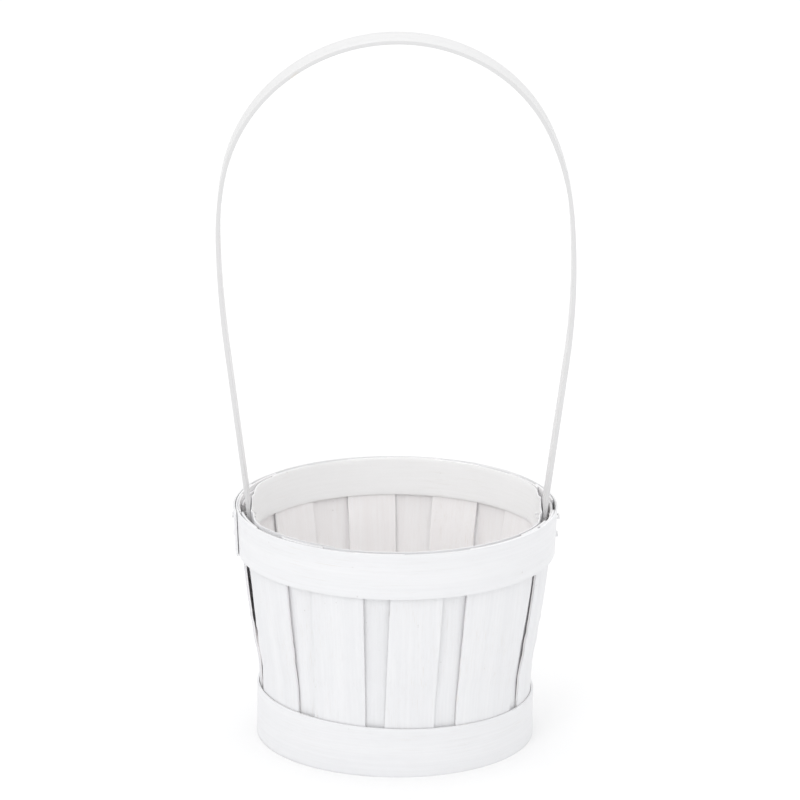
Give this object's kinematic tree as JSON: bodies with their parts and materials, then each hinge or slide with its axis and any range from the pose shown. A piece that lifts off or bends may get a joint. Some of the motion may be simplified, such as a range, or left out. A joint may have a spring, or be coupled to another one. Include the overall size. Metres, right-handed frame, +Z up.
{
  "type": "flower girl basket",
  "caption": "Small round tapered basket of white-painted upright veneer staves, bound by hoops at rim and base, with a plywood bottom and a tall fixed bentwood bow handle.",
  "frame": {"origin": "centre of the bottom, on the surface the basket stands on", "axes": "+Z up, -Y front, the bow handle spans X"},
  "size_m": [0.1534, 0.14, 0.3104],
  "materials": {
    "painted_handle": "matte white paint on bentwood, grain along the strip",
    "painted_hoop": "matte white paint on veneer, grain round the hoop",
    "painted_veneer": "matte white paint on rotary-cut veneer, upright grain showing through",
    "painted_plywood": "matte white paint on thin plywood",
    "painted_wire": "white paint over galvanised wire"
  },
  "bodies": {
    "root": {"handle": "painted_handle", "outer_rim_hoop": "painted_hoop", "inner_rim_hoop": "painted_hoop", "base_hoop": "painted_hoop", "outer_stave_01": "painted_veneer", "outer_stave_02": "painted_veneer", "outer_stave_03": "painted_veneer", "outer_stave_04": "painted_veneer", "outer_stave_05": "painted_veneer", "outer_stave_06": "painted_veneer", "outer_stave_07": "painted_veneer", "outer_stave_08": "painted_veneer", "outer_stave_09": "painted_veneer", "outer_stave_10": "painted_veneer", "outer_stave_11": "painted_veneer", "inner_stave_01": "painted_veneer", "inner_stave_02": "painted_veneer", "inner_stave_03": "painted_veneer", "inner_stave_04": "painted_veneer", "inner_stave_05": "painted_veneer", "inner_stave_06": "painted_veneer", "inner_stave_07": "painted_veneer", "inner_stave_08": "painted_veneer", "inner_stave_09": "painted_veneer", "inner_stave_10": "painted_veneer", "inner_stave_11": "painted_veneer", "base_disc": "painted_plywood", "handle_staples": "painted_wire", "base_hoop_staples": "painted_wire"}
  },
  "joints": []
}
